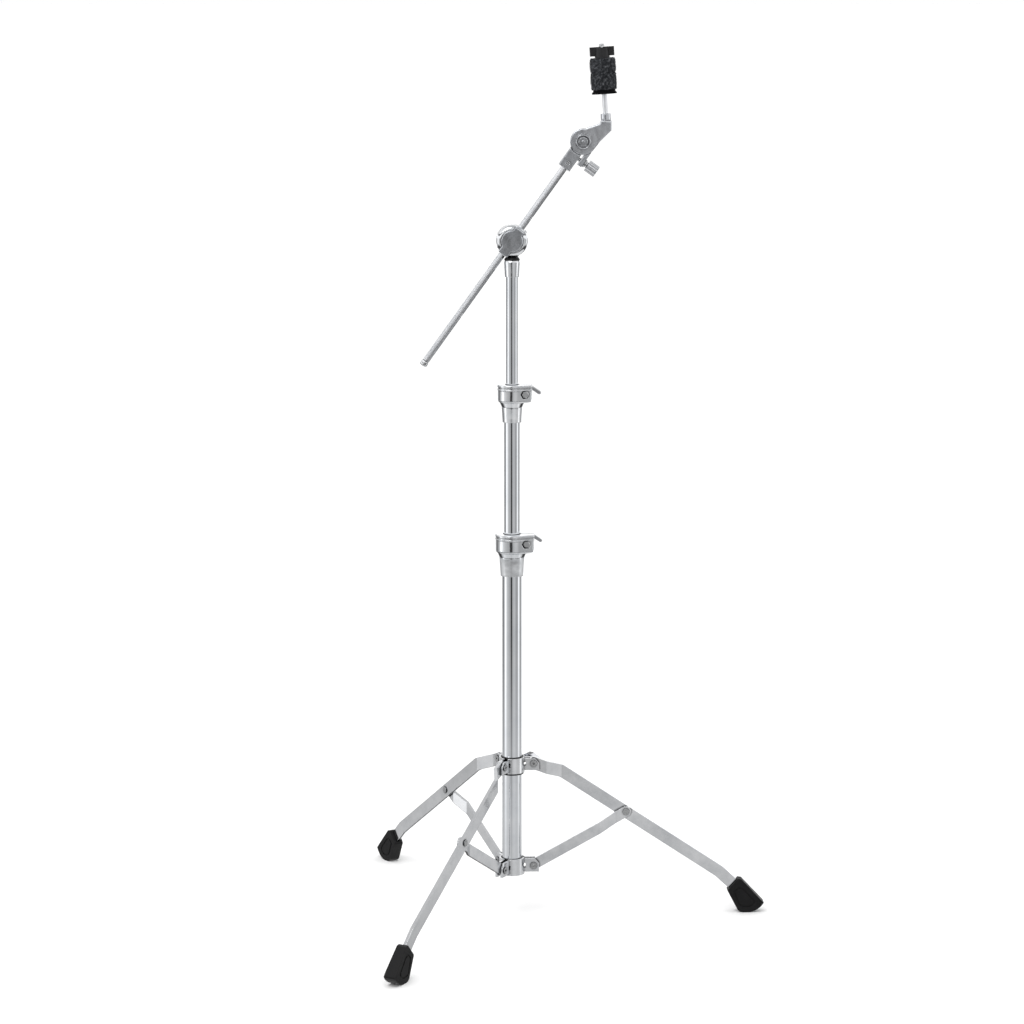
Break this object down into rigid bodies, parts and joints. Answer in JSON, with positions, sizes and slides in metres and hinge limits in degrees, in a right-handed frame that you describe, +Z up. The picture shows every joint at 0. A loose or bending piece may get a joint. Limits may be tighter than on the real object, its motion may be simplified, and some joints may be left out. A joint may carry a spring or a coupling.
{
  "type": "cymbal boom stand",
  "caption": "Free-standing cymbal boom stand: folding single-braced tripod, telescopic column, tilting boom arm and a cymbal tilter with felts.",
  "frame": {"origin": "on the floor, on the axis of the column", "axes": "+Z up the column, +X the way the boom leans, one leg along +X"},
  "size_m": [0.6369, 0.7187, 1.3962],
  "materials": {
    "chrome_tube": "polished",
    "chrome_rod": "polished",
    "chrome_strip": "polished",
    "chrome_cast": "polished casting",
    "satin_cast": "satin plated casting",
    "wing_cast": "plated casting",
    "fastener": "zinc plated",
    "brass_insert": "turned",
    "black_nylon": "moulded",
    "black_rubber": "moulded, matt",
    "grey_felt": "pressed wool felt"
  },
  "bodies": {
    "column": {"base_tube": "chrome_tube", "base_tube_end_cap": "black_nylon", "lower_hub_plates": "chrome_strip", "lower_hub_rivets": "fastener", "lower_clamp": "chrome_cast", "lower_clamp_bush": "black_nylon", "lower_clamp_bolt": "fastener"},
    "leg_collar": {"upper_hub_plates": "chrome_strip", "upper_hub_rivets": "fastener", "upper_hub_bush": "black_nylon", "hub_weld_nut": "fastener"},
    "hub_wing_bolt": {"hub_wing_bolt": "wing_cast"},
    "lower_wing_nut": {"lower_clamp_wing_nut": "wing_cast"},
    "middle_section": {"middle_tube": "chrome_tube", "middle_tube_plug": "black_nylon", "upper_clamp": "chrome_cast", "upper_clamp_bush": "black_nylon", "upper_clamp_bolt": "fastener"},
    "upper_wing_nut": {"upper_clamp_wing_nut": "wing_cast"},
    "top_section_plug": {"top_tube_plug": "black_nylon"},
    "top_section": {"top_tube": "chrome_tube", "tilter_collar": "chrome_cast", "tilter_neck": "black_nylon", "tilter_base": "chrome_cast"},
    "boom_tilter": {"tilter_drum": "chrome_cast", "tilter_face_plate": "satin_cast", "tilter_eye_bolt": "fastener"},
    "tilter_wing_nut": {"tilter_wing_nut": "wing_cast"},
    "boom_cap": {"boom_end_cap": "chrome_cast"},
    "boom": {"boom_arm": "chrome_rod", "cymbal_tilter_socket": "satin_cast", "socket_pin": "fastener", "clamp_knob_washer": "fastener"},
    "clamp_knob": {"clamp_knob": "satin_cast"},
    "cymbal_tilter": {"cymbal_tilter_arm": "satin_cast", "tilter_pivot_bolt": "fastener", "tilter_back_nut": "fastener", "cymbal_rod": "chrome_rod", "cymbal_seat": "black_nylon", "cymbal_sleeve": "black_nylon", "lower_felt": "grey_felt"},
    "upper_felt": {"upper_felt": "grey_felt"},
    "nut_insert": {"wing_nut_insert": "brass_insert"},
    "cymbal_wing_nut": {"cymbal_wing_nut": "black_nylon"},
    "leg_1": {"leg_1": "chrome_strip", "leg_rivet_1": "fastener", "foot_1": "black_rubber"},
    "brace_1": {"brace_1": "chrome_strip", "brace_rivet_1": "fastener"},
    "leg_2": {"leg_2": "chrome_strip", "leg_rivet_2": "fastener", "foot_2": "black_rubber"},
    "brace_2": {"brace_2": "chrome_strip", "brace_rivet_2": "fastener"},
    "leg_3": {"leg_3": "chrome_strip", "leg_rivet_3": "fastener", "foot_3": "black_rubber"},
    "brace_3": {"brace_3": "chrome_strip", "brace_rivet_3": "fastener"}
  },
  "joints": [
    {"name": "leg_collar_slide", "type": "slide", "parent": "column", "child": "leg_collar", "axis": [0, 0, 1], "range_m": [0, 0.1714]},
    {"name": "leg_1_hinge", "type": "hinge", "parent": "leg_collar", "child": "leg_1", "pos_m": [0.0346, 0, 0.254], "axis": [0, 1, 0], "range_deg": [0, 52.55]},
    {"name": "brace_1_hinge", "type": "hinge", "parent": "column", "child": "brace_1", "pos_m": [0.0346, 0, 0.0845], "axis": [0, -1, 0], "range_deg": [0, 52.55]},
    {"name": "leg_2_hinge", "type": "hinge", "parent": "leg_collar", "child": "leg_2", "pos_m": [-0.0173, 0.02996, 0.254], "axis": [-0.866, -0.5, 0], "range_deg": [0, 52.55]},
    {"name": "brace_2_hinge", "type": "hinge", "parent": "column", "child": "brace_2", "pos_m": [-0.0173, 0.02996, 0.0845], "axis": [0.866, 0.5, 0], "range_deg": [0, 52.55]},
    {"name": "leg_3_hinge", "type": "hinge", "parent": "leg_collar", "child": "leg_3", "pos_m": [-0.0173, -0.02996, 0.254], "axis": [0.866, -0.5, 0], "range_deg": [0, 52.55]},
    {"name": "brace_3_hinge", "type": "hinge", "parent": "column", "child": "brace_3", "pos_m": [-0.0173, -0.02996, 0.0845], "axis": [-0.866, 0.5, 0], "range_deg": [0, 52.55]},
    {"name": "hub_wing_bolt_turn", "type": "hinge", "parent": "leg_collar", "child": "hub_wing_bolt", "pos_m": [0.01454, 0.02624, 0.2522], "axis": [0.4848, 0.8746, 0], "continuous": true},
    {"name": "lower_wing_nut_turn", "type": "hinge", "parent": "column", "child": "lower_wing_nut", "pos_m": [0.0225, 0.0123, 0.6136], "axis": [0, 1, 0], "continuous": true},
    {"name": "middle_section_slide", "type": "slide", "parent": "column", "child": "middle_section", "axis": [0, 0, 1], "range_m": [-0.175, 0.24]},
    {"name": "upper_wing_nut_turn", "type": "hinge", "parent": "middle_section", "child": "upper_wing_nut", "pos_m": [0.0203, 0.0108, 0.8519], "axis": [0, 1, 0], "continuous": true},
    {"name": "top_section_slide", "type": "slide", "parent": "middle_section", "child": "top_section_plug", "axis": [0, 0, 1], "range_m": [-0.165, 0.22]},
    {"name": "top_section_swivel", "type": "hinge", "parent": "top_section_plug", "child": "top_section", "pos_m": [0, 0, 0.8], "axis": [0, 0, 1], "continuous": true},
    {"name": "boom_tilt", "type": "hinge", "parent": "top_section", "child": "boom_tilter", "pos_m": [0, 0, 1.0925], "axis": [0, 1, 0], "range_deg": [-2, 80]},
    {"name": "tilter_wing_nut_turn", "type": "hinge", "parent": "top_section", "child": "tilter_wing_nut", "pos_m": [0, 0.0163, 1.0925], "axis": [0, 1, 0], "continuous": true},
    {"name": "boom_slide", "type": "slide", "parent": "boom_tilter", "child": "boom_cap", "axis": [0.5835, 0, 0.8121], "range_m": [-0.105, 0.2]},
    {"name": "boom_turn", "type": "hinge", "parent": "boom_cap", "child": "boom", "pos_m": [0, 0, 1.0925], "axis": [0.5835, 0, 0.8121], "continuous": true},
    {"name": "clamp_knob_turn", "type": "hinge", "parent": "boom", "child": "clamp_knob", "pos_m": [0.11948, 0, 1.20736], "axis": [0.8121, 0, -0.5835], "continuous": true},
    {"name": "cymbal_tilt", "type": "hinge", "parent": "boom", "child": "cymbal_tilter", "pos_m": [0.11029, 0, 1.24598], "axis": [0, 1, 0], "range_deg": [-110, 20]},
    {"name": "upper_felt_slide", "type": "slide", "parent": "cymbal_tilter", "child": "upper_felt", "axis": [-0.0645, 0, 0.9979], "range_m": [0, 0.045]},
    {"name": "wing_nut_lift", "type": "slide", "parent": "upper_felt", "child": "nut_insert", "axis": [-0.0645, 0, 0.9979], "range_m": [0, 0.025]},
    {"name": "cymbal_wing_nut_turn", "type": "hinge", "parent": "nut_insert", "child": "cymbal_wing_nut", "pos_m": [0.13932, 0, 1.37778], "axis": [-0.0645, 0, 0.9979], "continuous": true}
  ],
  "couplings": [
    {"joint": "leg_1_hinge", "follows": "leg_collar_slide", "rad_per_m": 5.346},
    {"joint": "brace_1_hinge", "follows": "leg_collar_slide", "rad_per_m": 5.346},
    {"joint": "leg_2_hinge", "follows": "leg_collar_slide", "rad_per_m": 5.346},
    {"joint": "brace_2_hinge", "follows": "leg_collar_slide", "rad_per_m": 5.346},
    {"joint": "leg_3_hinge", "follows": "leg_collar_slide", "rad_per_m": 5.346},
    {"joint": "brace_3_hinge", "follows": "leg_collar_slide", "rad_per_m": 5.346}
  ]
}
